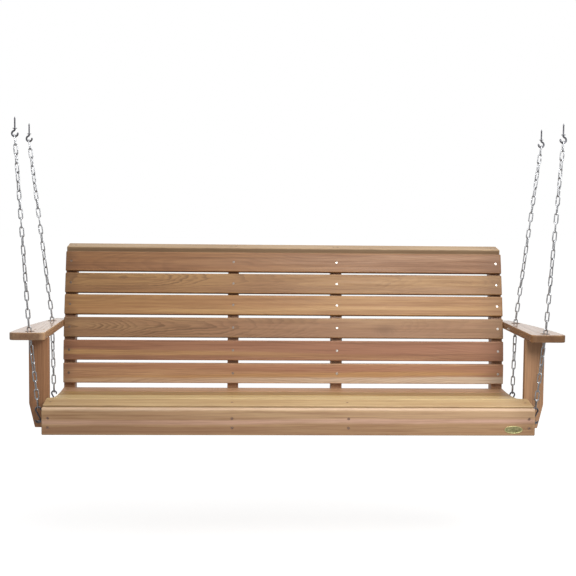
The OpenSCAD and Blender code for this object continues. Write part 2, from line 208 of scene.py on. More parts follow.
def cap_loops(node, axis, side):
    """Outlines of a CAD board's flat end: the outer one counter-clockwise, then those of its holes."""
    bm = cad_mesh(node)
    level = max(side * v.co[axis] for v in bm.verts)
    cap = {f for f in bm.faces if all(side * v.co[axis] > level - ON_FACE for v in f.verts)}
    after = {}
    for face in cap:
        for corner in face.loops:
            if sum(f in cap for f in corner.edge.link_faces) == 1:
                after[corner.vert.index] = corner.link_loop_next.vert.index
    kept = [a for a in (X, Y, Z) if a != axis]
    loops = []
    while after:
        at = next(iter(after))
        ring = []
        while at in after:
            ring.append([bm.verts[at].co[a] for a in kept])
            at = after.pop(at)
        ring = np.array(ring)
        loops.append(ring[np.linalg.norm(ring - np.roll(ring, 1, 0), axis=1) > SAME])
    bm.free()
    loops.sort(key=lambda ring: -abs(area_of(ring)))
    return [ring if area_of(ring) > 0 else ring[::-1] for ring in loops]


def islands(node):
    """The separate solids of a CAD node, each as an array of its corner points."""
    bm = cad_mesh(node)
    seen = set()
    found = []
    for start in bm.verts:
        if start in seen:
            continue
        stack = [start]
        seen.add(start)
        group = []
        while stack:
            v = stack.pop()
            group.append(v.co[:])
            for edge in v.link_edges:
                other = edge.other_vert(v)
                if other not in seen:
                    seen.add(other)
                    stack.append(other)
        found.append(np.array(group))
    bm.free()
    return found


def principal_axes(points):
    """Middle, three axes from longest to shortest, and the size along each, of a symmetric solid."""
    axes = np.linalg.eigh(np.cov((points - points.mean(0)).T))[1][:, ::-1].T
    low = (points @ axes.T).min(0)
    high = (points @ axes.T).max(0)
    middle = ((low + high) / 2) @ axes
    return middle, axes, high - low


def headed_solids(node):
    """Each screw or bolt of a CAD node: where its head's face is, its direction from there, its sizes."""
    found = []
    for points in islands(node):
        middle, axes, size = principal_axes(points)
        axis = axes[0]
        along = (points - middle) @ axis
        out = np.linalg.norm((points - middle) - along[:, None] * axis, axis=1)
        if along[np.argmax(out)] > 0:
            axis = -axis
        found.append({
            "head": middle - axis * size[0] / 2, "axis": axis, "length": size[0], "head_r": out.max()})
    return found


def sides_of(node):
    """A CAD node's low and high corner, the side it is on, and X of its inner and its outer face."""
    low, high = (np.array(p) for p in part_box(node))
    if low[X] + high[X] < 0:
        return low, high, LEFT, high[X], low[X]
    return low, high, RIGHT, low[X], high[X]


# ---------------- mesh helpers


def new_object(name, verts, faces, place=None, wear=None, flat_above=35):
    """A mesh object whose own axes are those of place; its vertices are given in the row frame."""
    place = place or Matrix.Identity(4)
    inverse = np.array(place.inverted())
    verts = np.asarray(verts, float)
    local = verts @ inverse[:3, :3].T + inverse[:3, 3]
    mesh = bpy.data.meshes.new(name)
    mesh.from_pydata(local.tolist(), [], faces)
    if wear is not None:
        layer = mesh.attributes.new("wear", "FLOAT", "POINT")
        layer.data.foreach_set("value", np.asarray(wear, np.float32))
    mesh.update()
    bm = bmesh.new()
    bm.from_mesh(mesh)
    bmesh.ops.recalc_face_normals(bm, faces=bm.faces)
    bm.to_mesh(mesh)
    bm.free()
    shade(mesh, flat_above)
    made = bpy.data.objects.new(name, mesh)
    bpy.context.scene.collection.objects.link(made)
    made.matrix_world = place
    return made


def shade(mesh, flat_above=35):
    mesh.polygons.foreach_set("use_smooth", [True] * len(mesh.polygons))
    mesh.set_sharp_from_angle(angle=math.radians(flat_above))


def keep_flats_flat(piece):
    weights = piece.modifiers.new("flats", "WEIGHTED_NORMAL")
    weights.keep_sharp = True
    weights.weight = 100


def finish_piece(piece, material, body, node):
    """Gives a piece its material and the body it rides, and hides the CAD node that it replaces."""
    piece.data.materials.clear()
    piece.data.materials.append(material)
    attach(piece, body)
    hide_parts(node)


def loft(rings, closed=False):
    """Vertices and faces of a tube through rings of the same number of points."""
    count = len(rings[0])
    verts = np.concatenate(rings)
    faces = []
    for k in range(len(rings) if closed else len(rings) - 1):
        a = k * count
        b = (k + 1) % len(rings) * count
        for i in range(count):
            j = (i + 1) % count
            faces.append((a + i, a + j, b + j, b + i))
    if not closed:
        faces.append(tuple(range(count))[::-1])
        faces.append(tuple(range(len(verts) - count, len(verts))))
    return verts, faces


def joined(parts):
    """Several (verts, faces) as one."""
    verts = []
    faces = []
    start = 0
    for part_verts, part_faces in parts:
        verts.append(np.asarray(part_verts))
        faces += [tuple(start + i for i in face) for face in part_faces]
        start += len(part_verts)
    return np.concatenate(verts), faces


def ring_points(centre, across, up, radius, count, lobes=None):
    """Points of a circle; lobes=(n, depth) waves its radius into an n-lobed star."""
    made = []
    for k in range(count):
        a = 2 * math.pi * k / count
        r = radius if lobes is None else radius + lobes[1] * math.cos(lobes[0] * a)
        made.append(centre + r * (math.cos(a) * across + math.sin(a) * up))
    return np.array(made)


def frame_round(axis):
    """Two directions square to an axis and to each other."""
    side = np.cross(axis, TO_Z if abs(axis[Z]) < 0.9 else TO_Y)
    side = side / np.linalg.norm(side)
    return side, np.cross(axis, side)


def turned(origin, axis, profile, count, lobed=()):
    """A turned solid: profile is (distance along axis, radius) pairs, lobed is (index, n, depth) rows."""
    across, up = frame_round(axis)
    waves = {index: (n, depth) for index, n, depth in lobed}
    rings = [
        ring_points(origin + along * axis, across, up, radius, count, waves.get(k))
        for k, (along, radius) in enumerate(profile)
    ]
    return loft(rings)


def swept(path, radii, count, normal, closed=False):
    """Round wire along a flat path whose plane has the given normal."""
    path = np.array(path)
    if closed:
        ahead = np.roll(path, -1, 0) - np.roll(path, 1, 0)
    else:
        ahead = np.gradient(path, axis=0)
    ahead = ahead / np.linalg.norm(ahead, axis=1)[:, None]
    rings = [
        ring_points(p, np.cross(normal, t), normal, r, count)
        for p, t, r in zip(path, ahead, radii)
    ]
    return loft(rings, closed)


def arc(centre, radius, start, end, steps, across, up):
    """Points of an arc from start to end degrees, without its last point."""
    return [
        centre + radius * (math.cos(a) * across + math.sin(a) * up)
        for a in np.radians(start + (end - start) * np.arange(steps) / steps)
    ]


# ---------------- boards


def fillet(points, radius, sharp=25, steps=4):
    """Rounds the corners of an outline that turn by more than sharp degrees."""
    made = []
    count = len(points)
    for i, p in enumerate(points):
        back = points[i - 1] - p
        on = points[(i + 1) % count] - p
        back_l, on_l = np.linalg.norm(back), np.linalg.norm(on)
        back, on = back / back_l, on / on_l
        turn = math.pi - math.acos(max(-1, min(1, float(back @ on))))
        if math.degrees(turn) < sharp:
            made.append(p)
            continue
        reach = min(radius * math.tan(turn / 2), 0.45 * back_l, 0.45 * on_l)
        bisector = (back + on) / np.linalg.norm(back + on)
        centre = p + bisector * reach / math.sin(turn / 2)
        a, b = p + reach * back - centre, p + reach * on - centre
        for k in range(steps + 1):
            t = k / steps
            made.append(centre + (math.sin((1 - t) * turn) * a + math.sin(t * turn) * b) / math.sin(turn))
    return np.array(made)


def supported(points):
    """Adds a point near both ends of each long edge, so that its flat stays flat."""
    made = []
    for i, p in enumerate(points):
        q = points[(i + 1) % len(points)]
        length = np.linalg.norm(q - p)
        made.append(p)
        if length > 4 * SUPPORT:
            gap = (q - p) * SUPPORT / length
            made += [p + gap, q - gap]
    return np.array(made)


def inset(points, distance):
    """A counter-clockwise outline moved inwards, but never past the centre of a rounded corner."""
    ahead = np.roll(points, -1, 0) - points
    lengths = np.linalg.norm(ahead, axis=1)
    ahead = ahead / lengths[:, None]
    inward = np.stack([-ahead[:, 1], ahead[:, 0]], 1)
    before = np.roll(inward, 1, 0)
    turn = np.arcsin(np.clip(before[:, 0] * inward[:, 1] - before[:, 1] * inward[:, 0], -1, 1))
    bend_r = (lengths + np.roll(lengths, 1)) / 2 / np.maximum(turn, 0.02)
    bend_r = np.where(turn > 0.6, 1.0, bend_r)  # a sharp corner has no centre to keep clear of
    limit = np.minimum(np.minimum(np.roll(bend_r, 1), bend_r), np.roll(bend_r, -1))
    steps = np.minimum(distance, 0.92 * limit)
    share = 1 + np.sum(before * inward, axis=1)
    return points + (steps / np.maximum(share, 0.4))[:, None] * (before + inward)


def lift(points, axis, level):
    """Flat points as points in space at a level on the axis that they leave out."""
    kept = [a for a in (X, Y, Z) if a != axis]
    made = np.zeros((len(points), 3))
    made[:, kept] = points
    made[:, axis] = level
    return made


def prism(outline, axis, low, high, edge_r, corner_r=0.0):
    """Vertices, faces and edge wear of a board with this outline, its ends eased to edge_r."""
    outline = supported(fillet(outline, corner_r) if corner_r else outline)
    short = np.linalg.norm(np.roll(outline, -1, 0) - outline, axis=1) < ROUND_STEP
    on_round = np.logical_or(short, np.roll(short, 1)).astype(float)
    # From the flat end outwards round the eased edge: depth, how far inside the outline, wear
    levels = [(0.0, edge_r + LIP, 0.0)]
    for a in np.radians([90, 67, 45, 22, 0]):
        levels.append((edge_r * (1 - math.sin(a)), edge_r * (1 - math.cos(a)), 1.0))
    levels.append((edge_r + SUPPORT, 0.0, 0.0))
    rings = []
    wear = []
    for base, sign, steps in ((low, 1, levels), (high, -1, levels[::-1])):
        for depth, step, worn in steps:
            rings.append(lift(inset(outline, step), axis, base + sign * depth))
            wear.append(0 * on_round if step > edge_r else np.maximum(on_round, worn))
    verts, faces = loft(rings)
    return verts, faces, np.concatenate(wear)


def board(name, shape, grain, across):
    """A board from its vertices, faces and wear, and how its wood is turned.

    The object sits in the board's middle with level axes. The turn takes those to the wood's own:
    x along the grain, y across the board, z through it.
    """
    verts, faces, wear = shape
    x = Vector(grain).normalized()
    y = Vector(across)
    y = (y - y.dot(x) * x).normalized()
    axes = Matrix((x, y, x.cross(y)))
    local = np.asarray(verts) @ np.array(axes.transposed())
    middle = axes.transposed() @ Vector((local.min(0) + local.max(0)) / 2)
    return new_object(name, verts, faces, Matrix.Translation(middle), wear), tuple(axes.to_euler("XYZ"))


def longest_edge(outline):
    edges = np.roll(outline, -1, 0) - outline
    best = edges[np.argmax(np.linalg.norm(edges, axis=1))]
    return best / np.linalg.norm(best)


def cut(piece, parts):
    """Takes closed solids, given as (verts, faces), out of a piece."""
    verts, faces = joined(parts)
    tool = new_object("tool", verts, faces)
    hole = piece.modifiers.new("cut", "BOOLEAN")
    hole.operation = "DIFFERENCE"
    hole.solver = "MANIFOLD"
    hole.object = tool
    evaluated = piece.evaluated_get(bpy.context.evaluated_depsgraph_get())
    mesh = bpy.data.meshes.new_from_object(evaluated)
    piece.modifiers.clear()
    mesh.name = piece.name
    piece.data = mesh
    bpy.data.objects.remove(tool)
    shade(mesh)


SCREWS = {
    node: headed_solids(node)
    for node in ("seat_slat_screws", "back_slat_screws", "apron_screws",
                 "top_rail_screws", "arm_screws", "post_screws")
}


def countersink(screw):
    """The hole that a sunk screw head leaves in the face of a board."""
    r = screw["head_r"]
    # A cone that starts above the face, a steeper one under the head, and the shank's hole
    profile = [
        (-0.6 * MM, r + 1.29 * MM), (0.5 * MM, r + 0.3 * MM),
        (SCREW_SINK + 2.6 * MM, 0.55 * r), (9 * MM, 0.55 * r),
    ]
    return turned(screw["head"], screw["axis"], profile, 28)


def countersinks_in(node, *screw_nodes):
    """Countersinks of the screws whose heads lie on this CAD board."""
    low, high = (np.array(p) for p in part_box(node))
    slack = 1.5 * MM
    return [
        countersink(s)
        for name in screw_nodes
        for s in SCREWS[name]
        if np.all(s["head"] > low - slack) and np.all(s["head"] < high + slack)
    ]


# ---------------- materials


def wood_albedo(colour, gain=1.0):
    """A wood tone as it looks in soft light, as the paler albedo that gives it."""
    return tuple(min(1.0, c * WOOD_GAIN * gain) for c in srgb(*colour)[:3]) + (1.0,)


def cedar(name, turn, tones, seed, ring=4.0, pith=(12, -60), drift=(0, 20), wave=(0, 0.6, 0),
          jag=6, lines=0.35, fade=1.0, streaks=0.5, bands=(), eye=None, ends=None, edge_tone_and_shade=0.65, rough=0.5):
    """Oiled cedar; lengths in mm. turn takes the board's axes to the wood's, whose grain is along x.

    tones are its pale, middle and dark tone. ring is the growth ring spacing, pith the tree's centre
    across and through the board, drift how far that centre moves per metre of board, and wave
    (reach, length in metres, phase) how it wanders, which draws pointed arches on the face. jag is how
    ragged the rings are, lines how strong they show, and fade how much of that is left at the board's
    right end. streaks is how strong the dark streaks are. bands are soft stripes along the board:
    (middle, half width, rise per metre, share at its left and its right end, tone). eye is a small
    swirl: (along, across, size). ends darkens both ends of the board with painted shade: (half its
    length in m, share at the left, share at the right). edge_tone_and_shade is how much of the colour
    its long edges keep under their darker tone and painted shade.
    """
    pale, middle, dark = tones
    s = Shader(name)
    coords = s.node("ShaderNodeTexCoord").outputs
    place = s.rotate(coords["Object"], turn)
    shift = (seed * 3.17 % 11, seed * 1.93 % 7, seed * 2.71 % 5)
    other = (shift[1] + 4, shift[2], shift[0])
    x, y, z = s.node("ShaderNodeSeparateXYZ", {0: place}).outputs

    # Growth rings: distance from a wandering centre, warped by slow and quick noise
    slow = s.math("SUBTRACT", s.noise(place, (1.7, 8, 8), 2.0, 0.5, shift), 0.5)
    quick = s.math("SUBTRACT", s.noise(place, (11, 55, 55), 3.0, 0.6, shift), 0.5)
    reach, length, phase = wave
    swing = s.math("SINE", s.math("MULTIPLY_ADD", x, 2 * math.pi / length, phase))
    across = s.math("SUBTRACT", y, s.math("MULTIPLY_ADD", x, drift[0] * MM, pith[0] * MM))
    depth = s.math("SUBTRACT", z, s.math("MULTIPLY_ADD", x, drift[1] * MM, pith[1] * MM))
    depth = s.math("MULTIPLY_ADD", swing, reach * MM, depth)
    squares = s.math("MULTIPLY_ADD", across, across, s.math("MULTIPLY", depth, depth))
    radius = s.math("SQRT", squares)
    radius = s.math("MULTIPLY_ADD", slow, 34 * MM, radius)
    radius = s.math("MULTIPLY_ADD", quick, jag * MM, radius)
    if eye is not None:
        spot = s.vector_math("SUBTRACT", place, (eye[0] * MM, eye[1] * MM, 0))
        spot = s.vector_math("MULTIPLY", spot, (0.5, 1, 0.3))
        gone = s.node("ShaderNodeVectorMath", {0: spot}, operation="LENGTH").outputs["Value"]
        near = s.ramp(gone, eye[2] * MM, 0)
        radius = s.math("MULTIPLY_ADD", near, 14 * MM, radius)
    rings = s.math("DIVIDE", radius, ring * MM)
    season = s.math("FRACT", rings)
    late = s.math("MULTIPLY", s.ramp(season, 0.2, 0.85), s.ramp(season, 1.0, 0.88))
    year = s.node("ShaderNodeTexWhiteNoise", {"W": s.math("FLOOR", rings)}, noise_dimensions="1D")
    late = s.math("MULTIPLY", late, s.ramp(year.outputs["Value"], 0, 1, 0.25, 1.0, False))
    patches = s.noise(place, (4, 22, 22), 2.0, 0.5, other)
    late = s.math("MULTIPLY", late, s.ramp(patches, 0.3, 0.62, 0.35, 1.0))
    if fade < 1:
        late = s.math("MULTIPLY", late, s.ramp(x, -0.1, 0.3, 1.0, fade))

    # Long blotches and streaks of colour, and fibres
    blotch = s.noise(place, (2.0, 20, 20), 3.0, 0.55, shift)
    streak = s.noise(place, (3.2, 130, 130), 4.0, 0.7, shift)
    soft = s.noise(place, (1.1, 44, 44), 2.0, 0.5, other)
    fibre = s.noise(place, (22, 900, 900), 2.0, 0.6, shift)
    pores = s.noise(place, (60, 2400, 2400), 1.0, 0.5, other)

    colour = s.mix(s.ramp(blotch, 0.32, 0.66), wood_albedo(pale), wood_albedo(middle))
    colour = s.mix(s.math("MULTIPLY", s.ramp(soft, 0.42, 0.68), 0.55), colour, wood_albedo(middle, 0.92))
    colour = s.mix(s.math("MULTIPLY", s.ramp(streak, 0.42, 0.66), streaks), colour, wood_albedo(dark))
    for centre, half, rise, shares, tone in bands:
        line = s.math("MULTIPLY_ADD", x, -rise * MM, y)
        line = s.math("MULTIPLY_ADD", slow, 16 * MM, s.math("MULTIPLY_ADD", quick, 6 * MM, line))
        off = s.math("ABSOLUTE", s.math("SUBTRACT", line, centre * MM))
        share = s.ramp(x, -0.7, 0.7, shares[0], shares[1], False)
        share = s.math("MULTIPLY", share, s.ramp(off, (half + 5) * MM, (half - 4) * MM))
        colour = s.mix(s.math("MULTIPLY", share, s.ramp(streak, 0.8, 0.35, 0.5, 1.0)), colour, wood_albedo(tone))
    if eye is not None:
        colour = s.mix(s.math("MULTIPLY", near, 0.4), colour, wood_albedo(dark, 0.7))
    colour = s.mix(s.math("MULTIPLY", late, lines), colour, wood_albedo(dark, LATE_TONE))
    colour = s.mix(s.ramp(fibre, 0.4, 0.85, 0.0, 0.22), colour, wood_albedo(dark, 0.7))

    # Painted shade: both ends of the board darken towards its dark tone
    if ends is not None:
        half, left, right = ends
        ragged = s.math("MULTIPLY_ADD", quick, 0.06, x)
        for side, share in ((LEFT, left), (RIGHT, right)):
            end_shade_share = s.ramp(ragged, side * (half - END_SHADE_REACH[side]), side * half, 0, share)
            colour = s.mix(end_shade_share, colour, wood_albedo(dark, 0.6))

    # Long edges are darker, partly their own tone and partly painted shade where the eased edges turn from
    # the light; end grain is darker; handled arrises are a little paler
    facing = s.node("ShaderNodeSeparateXYZ", {0: s.rotate(coords["Normal"], turn)}).outputs
    end = s.ramp(s.math("ABSOLUTE", facing[0]), 0.55, 0.95)
    # Painted shade on the long edges, together with their darker tone
    edge = s.ramp(s.math("ABSOLUTE", facing[1]), 0.35, 0.9)
    colour = s.mix(s.math("MULTIPLY", edge, 1 - edge_tone_and_shade), colour, wood_albedo(dark, 0.45))
    colour = s.mix(s.math("MULTIPLY", end, 0.5), colour, wood_albedo(dark, END_TONE))
    worn = s.node("ShaderNodeAttribute", attribute_name="wear").outputs["Fac"]
    patchy = s.math("MULTIPLY", worn, s.ramp(quick, -0.2, 0.25, 0.02, 0.3))
    colour = s.mix(patchy, colour, wood_albedo(pale, 1.25))
    s.put(s.surface.inputs["Base Color"], colour)

    sheen = s.ramp(streak, 0.3, 0.7, rough - 0.06, rough + 0.08, False)
    s.put(s.surface.inputs["Roughness"], s.math("MULTIPLY_ADD", end, 0.25, sheen))
    s.surface.inputs["IOR"].default_value = 1.48
    relief = s.math("MULTIPLY_ADD", late, -0.6, s.math("MULTIPLY", fibre, 0.5))
    relief = s.math("MULTIPLY_ADD", pores, 0.35, relief)
    s.put(s.surface.inputs["Normal"], s.bump(relief, 0.16 * MM, 0.55))
    return s.material


def steel(name, tone, rough, grime_and_shade=(70, 64, 58), grime_share=0.35, left_shade=0.0):
    """Zinc plated steel: clouded plating, a dull film in spots, fine drawn scratches.

    left_shade is how much of the pieces at the left end is covered by the film, as painted shade.
    """
    s = Shader(name)
    place = s.node("ShaderNodeTexCoord").outputs["Object"]
    cloud = s.noise(place, (260, 260, 260), 3.0, 0.6)
    spot = s.noise(place, (900, 900, 900), 2.0, 0.6, (3, 1, 2))
    fine = s.noise(place, (5200, 5200, 900), 2.0, 0.6)
    colour = s.mix(s.ramp(cloud, 0.3, 0.7), srgb(*tone), srgb(*tuple(0.78 * c for c in tone)))
    film = s.math("MULTIPLY", s.ramp(spot, 0.52, 0.74), grime_share)
    # Painted shade: screws at the left end take the film's tone, as if they catch less light there
    if left_shade:
        x = s.node("ShaderNodeSeparateXYZ", {0: place}).outputs[0]
        film = s.math("MAXIMUM", film, s.math("MULTIPLY", s.ramp(x, 0.05, -0.3), left_shade))
    colour = s.mix(film, colour, srgb(*grime_and_shade))
    s.put(s.surface.inputs["Base Color"], colour)
    s.surface.inputs["Metallic"].default_value = 1.0
    clouded = s.ramp(cloud, 0.2, 0.8, rough, rough + 0.14)
    s.put(s.surface.inputs["Roughness"], s.math("MULTIPLY_ADD", film, 0.3, clouded))
    s.put(s.surface.inputs["Normal"], s.bump(s.math("ADD", fine, spot), 0.03 * MM, 0.35))
    return s.material


def aged_brass(name):
    """Brass plate with a green-brown patina, rubbed brighter on its raised rim."""
    s = Shader(name)
    place = s.node("ShaderNodeTexCoord").outputs["Object"]
    cloud = s.noise(place, (120, 120, 120), 4.0, 0.6)
    spot = s.noise(place, (520, 520, 520), 3.0, 0.6, (1, 4, 2))
    worn = s.node("ShaderNodeAttribute", attribute_name="wear").outputs["Fac"]
    colour = s.mix(s.ramp(cloud, 0.3, 0.7), srgb(190, 182, 134), srgb(134, 132, 90))
    colour = s.mix(s.ramp(spot, 0.5, 0.75, 0.0, 0.55), colour, srgb(92, 108, 78))
    colour = s.mix(s.math("MULTIPLY", worn, 0.6), colour, srgb(206, 198, 140))
    s.put(s.surface.inputs["Base Color"], colour)
    s.surface.inputs["Metallic"].default_value = 0.85
    s.put(s.surface.inputs["Roughness"], s.ramp(spot, 0.3, 0.8, 0.34, 0.6))
    s.put(s.surface.inputs["Normal"], s.bump(s.math("ADD", cloud, spot), 0.1 * MM, 0.4))
    return s.material


# ---------------- wooden pieces

PEARL = (230, 210, 184)
HONEY = (204, 160, 104)
ROSE = (188, 134, 106)

BACK_LOOKS = {
    1: dict(tones=((210, 167, 124), (191, 141, 104), (149, 100, 74)), ring=5, pith=(-70, -50),
            drift=(30, 20), wave=(16, 0.9, 0.5), lines=0.3, streaks=0.7,
            bands=((-8, 8, 22, (0.5, 0.9), HONEY), (-27, 12, 8, (0.3, 1.0), PEARL),
                   (20, 9, -10, (0.2, 0.8), ROSE))),
    2: dict(tones=((178, 131, 98), (163, 113, 82), (131, 86, 62)), ring=5, pith=(80, -60),
            drift=(-40, 10), wave=(10, 1.3, 2), lines=0.25, streaks=0.6,
            bands=((-16, 8, -14, (0.8, 0.0), HONEY), (10, 16, 0, (0.0, 0.5), ROSE))),
    3: dict(tones=((178, 139, 97), (162, 119, 84), (123, 86, 55)), ring=3.4, pith=(9, -62),
            drift=(6, -72), wave=(4, 0.5, 1.0), jag=8, lines=0.7, fade=0.25, streaks=0.45, eye=(345, -4, 30),
            bands=((0, 40, 0, (0.0, 0.15), (190, 150, 120)),)),
    4: dict(tones=((189, 144, 91), (173, 125, 78), (139, 94, 55)), ring=4.5, pith=(60, -90),
            drift=(16, 30), wave=(12, 1.1, 3), lines=0.25, streaks=0.5,
            bands=((-14, 7, 12, (0.2, 0.5), (216, 174, 116)),)),
    5: dict(tones=((180, 138, 87), (162, 118, 75), (127, 86, 51)), ring=2.8, pith=(12, -50),
            drift=(-8, -46), wave=(3, 0.4, 0), jag=8, lines=0.65, fade=0.5, streaks=0.5),
    6: dict(tones=((166, 120, 77), (151, 104, 65), (119, 77, 46)), ring=5, pith=(-50, -90),
            drift=(-60, 30), wave=(10, 0.8, 1), lines=0.35, streaks=0.6,
            bands=((4, 12, 30, (0.0, 0.4), (190, 150, 118)),)),
}
PALE_SEAT = ((214, 184, 136), (198, 164, 118), (162, 126, 86))
BRIGHT_SEAT = ((229, 203, 149), (215, 184, 130), (178, 144, 96))
OLIVE_SEAT = ((184, 148, 94), (168, 132, 82), (136, 100, 60))
ROSY_SEAT = ((200, 156, 118), (184, 140, 104), (150, 110, 78))
SEAT_TONES = {1: PALE_SEAT, 2: BRIGHT_SEAT, 3: BRIGHT_SEAT, 4: BRIGHT_SEAT, 5: OLIVE_SEAT, 6: ROSY_SEAT}
SEAT_LOOK = dict(pith=(120, -70), drift=(10, 14), lines=0.2, streaks=0.6)
# The apron band at 40 mm across, on its rounded top edge, is a painted highlight
APRON_LOOK = dict(tones=((204, 168, 124), (187, 146, 107), (148, 106, 74)), ring=6, pith=(-140, -90),
                  drift=(6, 8), lines=0.2, streaks=0.6, edge_tone_and_shade=1.0,
                  bands=((2, 6, 4, (0.6, 1.0), (222, 178, 156)), (40, 4, 0, (0.9, 1.0), (222, 192, 164)),
                         (-26, 12, 0, (0.75, 0.1), (150, 106, 78)), (24, 12, 0, (0.0, 0.7), (214, 178, 140))))
RAIL_LOOK = dict(tones=((206, 175, 135), (188, 155, 115), (152, 116, 82)), pith=(100, -80),
                 drift=(8, 12), lines=0.2, edge_tone_and_shade=0.35)
FRAME_LOOK = dict(tones=((235, 179, 136), (217, 161, 120), (172, 120, 86)), ring=5, pith=(70, -80),
                  drift=(20, 24), lines=0.3, rough=0.28)
ARM_LOOK = dict(ring=5, pith=(60, -70), drift=(20, 40), lines=0.15, edge_tone_and_shade=0.85, rough=0.14)
ARM_TONES = {LEFT: ((209, 171, 131), (189, 147, 112), (148, 107, 80)),
             RIGHT: ((161, 123, 83), (146, 105, 71), (114, 75, 48))}
POST_LOOK = dict(ring=5, pith=(50, -80), drift=(14, 20), lines=0.3)
POST_TONES = {LEFT: ((191, 139, 98), (173, 124, 87), (136, 92, 62)),
              RIGHT: ((202, 156, 116), (183, 139, 103), (144, 104, 74))}


def slat(node, look, screw_node, seed):
    outline = cap_loops(node, X, RIGHT)[0]
    low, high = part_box(node)
    edge = longest_edge(outline)
    edge = edge * np.sign(edge[np.argmax(np.abs(edge))])
    shape = prism(outline, X, low[X], high[X], SLAT_END_R)
    piece, turn = board(node + "_board", shape, TO_X, (0, *edge))
    cut(piece, countersinks_in(node, screw_node))
    keep_flats_flat(piece)
    finish_piece(piece, cedar(node + "_cedar", turn, seed=seed, **look), "bench", node)


def make_slats():
    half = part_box("front_apron")[1][X]
    for i in range(1, 7):
        look = dict(BACK_LOOKS[i], ends=(half, 0.5, 0.38))
        slat(f"back_slat_{i}", look, "back_slat_screws", seed=10 + i)
        look = dict(SEAT_LOOK, tones=SEAT_TONES[i], ends=(half, 0.0, 0.34))
        slat(f"seat_slat_{i}", look, "seat_slat_screws", seed=20 + i)
    slat("front_apron", dict(APRON_LOOK, ends=(half, 0.0, 0.3)), "apron_screws", seed=31)
    slat("top_rail", dict(RAIL_LOOK, ends=(half, 0.0, 0.3)), "top_rail_screws", seed=32)


def half_cutter(outline, start, end):
    """A plain solid of this outline from start to end on X, for cutting a half-lap."""
    return loft([lift(outline, X, min(start, end)), lift(outline, X, max(start, end))])


def lapped_board(node, outline, faces_x, corner_r, grain, across, cutter, seed):
    """A rib or an upright, cut to let the other one in."""
    shape = prism(outline, X, min(faces_x), max(faces_x), BOARD_R, corner_r)
    piece, turn = board(node + "_board", shape, grain, across)
    cut(piece, [cutter])
    keep_flats_flat(piece)
    finish_piece(piece, cedar(node + "_cedar", turn, seed=seed, **FRAME_LOOK), "bench", node)


def make_frames():
    for k, name in enumerate(("left_end", "left_inner", "right_inner", "right_end")):
        rib, upright = "seat_rib_" + name, "upright_" + name
        side, inner, outer = sides_of(rib)[2:]
        middle = (inner + outer) / 2
        past = side * 10 * MM
        rib_outline = cap_loops(rib, X, -side)[0]
        upright_outline = cap_loops(upright, X, side)[0]
        heights = upright_outline[:, 1]
        lean = upright_outline[np.argmax(heights)] - upright_outline[np.argmin(heights)]
        cutter = half_cutter(inset(upright_outline, -HAIR), middle, outer + past)
        lapped_board(rib, rib_outline, (inner, outer), 3 * MM, TO_Y, TO_Z, cutter, seed=40 + k)
        cutter = half_cutter(inset(rib_outline, -HAIR), middle, inner - past)
        lapped_board(upright, upright_outline, (inner, outer), 2 * MM, (0, *lean), TO_Y, cutter, seed=50 + k)


def chain_hole(loop, low_z, high_z):
    """A solid that cuts a chain's hole through an arm, wider at both faces."""
    hole_r = np.ptp(loop[:, 0]) / 2
    rim = [(-1 * MM, hole_r + HOLE_LIP), (0, hole_r + HOLE_LIP),
           (0.5 * HOLE_LIP, hole_r + 0.3 * HOLE_LIP), (HOLE_LIP, hole_r)]
    profile = rim + [(high_z - low_z - along, r) for along, r in rim[::-1]]
    return turned(np.array([*((loop.max(0) + loop.min(0)) / 2), low_z]), TO_Z, profile, 48)


def make_arm(node, side):
    outline, *holes = cap_loops(node, Z, 1)
    low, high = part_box(node)
    shape = prism(outline, Z, low[Z], high[Z], ARM_R, 3 * MM)
    piece, turn = board(node + "_board", shape, TO_Y, TO_X)
    wide = [loop for loop in holes if np.ptp(loop[:, 0]) / 2 >= SCREW_HOLE_R]
    chain_holes = [chain_hole(loop, low[Z], high[Z]) for loop in wide]
    cut(piece, chain_holes + countersinks_in(node, "arm_screws"))
    keep_flats_flat(piece)
    material = cedar(node + "_cedar", turn, tones=ARM_TONES[side], seed=60 + side, **ARM_LOOK)
    finish_piece(piece, material, "bench", node)


def make_arm_post(node, side):
    low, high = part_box(node)
    shape = prism(cap_loops(node, Y, -1)[0], Y, low[Y], high[Y], BOARD_R, 3 * MM)
    piece, turn = board(node + "_board", shape, TO_Z, TO_X)
    keep_flats_flat(piece)
    material = cedar(node + "_cedar", turn, tones=POST_TONES[side], seed=70 + side, **POST_LOOK)
    finish_piece(piece, material, "bench", node)


def make_arms():
    for side, name in ((LEFT, "left"), (RIGHT, "right")):
        make_arm("arm_" + name, side)
        make_arm_post("arm_post_" + name, side)


# ---------------- fasteners


def screw_solid(screw):
    """A sunk deck screw: flat head with a lobed recess, and a thread-waved shank to a point."""
    r = screw["head_r"]
    core = 0.42 * r
    profile = [(1.5 * MM, 0.2 * r), (1.5 * MM, 0.42 * r), (0.1 * MM, 0.46 * r), (0, 0.5 * r), (0, 0.86 * r),
               (0.15 * MM, 0.97 * r), (0.45 * MM, r), (2.6 * MM, 1.2 * core)]
    at = 4 * MM
    end = screw["length"] - SCREW_SINK
    while at < end - 6 * MM:
        profile += [(at, core), (at + 0.5 * SCREW_PITCH, 1.2 * core)]
        at += SCREW_PITCH
    profile.append((end, 0.25 * MM))
    star = [(k, 6, 0.07 * r) for k in (1, 2)]
    return turned(screw["head"] + SCREW_SINK * screw["axis"], screw["axis"], profile, 24, star)


